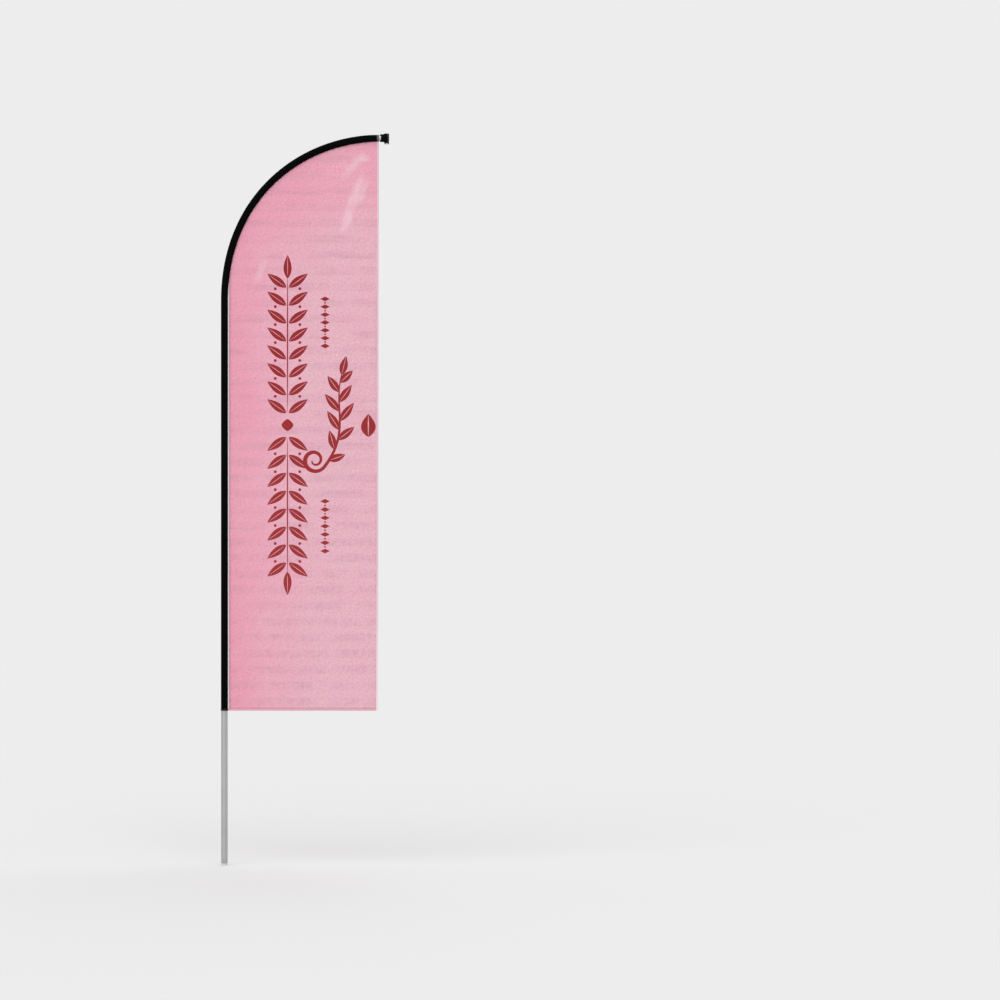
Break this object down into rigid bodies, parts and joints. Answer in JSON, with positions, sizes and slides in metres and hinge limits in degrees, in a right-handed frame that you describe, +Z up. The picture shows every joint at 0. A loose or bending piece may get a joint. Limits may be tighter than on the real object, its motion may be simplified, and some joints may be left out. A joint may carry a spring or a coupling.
{
  "type": "feather flag with pole",
  "caption": "Tall feather flag: a bent pole in push-fit sections turns on a socket foot and carries a long printed cloth panel in a black sleeve.",
  "frame": {"origin": "centre of the foot's lower face, on the pole's axis", "axes": "+Z up along the pole; +X from the pole towards the flag's free edge; the flag lies in the plane y = 0 and is seen from -Y"},
  "size_m": [0.6434, 0.036, 2.798],
  "materials": {
    "foot_alloy": "turned aluminium, fine lathe marks, satin",
    "nylon": "natural moulded nylon, matt",
    "spring_steel": "oiled spring steel, dark",
    "tube_aluminium": "drawn and satin-anodised aluminium tube, mid grey",
    "spigot_alloy": "drawn aluminium, mill finish, lightly scuffed",
    "pin_steel": "rolled steel pin, satin",
    "cap_plastic": "injection-moulded black plastic, semi-matt",
    "sleeve_cloth": "black woven polyester, matt",
    "tip_binding": "dark grey binding tape with a slight sheen",
    "mouth_binding": "black binding tape, a little paler than the sleeve",
    "elastic": "black knitted elastic",
    "seam_tape": "pale cotton seam tape",
    "panel_print": "dye-printed knitted polyester in mottled pinks with dark red ornament",
    "fly_hem_tape": "whitish pink hem tape, stitched",
    "bottom_hem_tape": "pink hem, stitched"
  },
  "bodies": {
    "foot": {"foot_socket": "foot_alloy", "foot_washer": "nylon", "foot_circlip": "spring_steel"},
    "pole_lower": {"bottom_tube": "tube_aluminium", "bearing_bush": "nylon", "thrust_cup": "nylon"},
    "pole_middle": {"middle_tube": "tube_aluminium", "lower_spigot": "spigot_alloy", "lower_spigot_pin": "pin_steel"},
    "flag_and_top": {"top_tube": "tube_aluminium", "upper_spigot": "spigot_alloy", "upper_spigot_pin": "pin_steel", "tip_cap": "cap_plastic", "pole_sleeve": "sleeve_cloth", "sleeve_tip_binding": "tip_binding", "sleeve_mouth_binding": "mouth_binding", "mouth_elastic": "elastic", "seam_tape": "seam_tape", "flag_panel": "panel_print", "fly_hem": "fly_hem_tape", "bottom_hem": "bottom_hem_tape"}
  },
  "joints": [
    {"name": "foot_swivel", "type": "hinge", "parent": "foot", "child": "pole_lower", "pos_m": [0, 0, 0.0076], "axis": [0, 0, 1], "continuous": true},
    {"name": "middle_lift", "type": "slide", "parent": "pole_lower", "child": "pole_middle", "axis": [0, 0, 1], "range_m": [0, 0.1]},
    {"name": "top_lift", "type": "slide", "parent": "pole_middle", "child": "flag_and_top", "axis": [0, 0, 1], "range_m": [0, 0.1]}
  ]
}
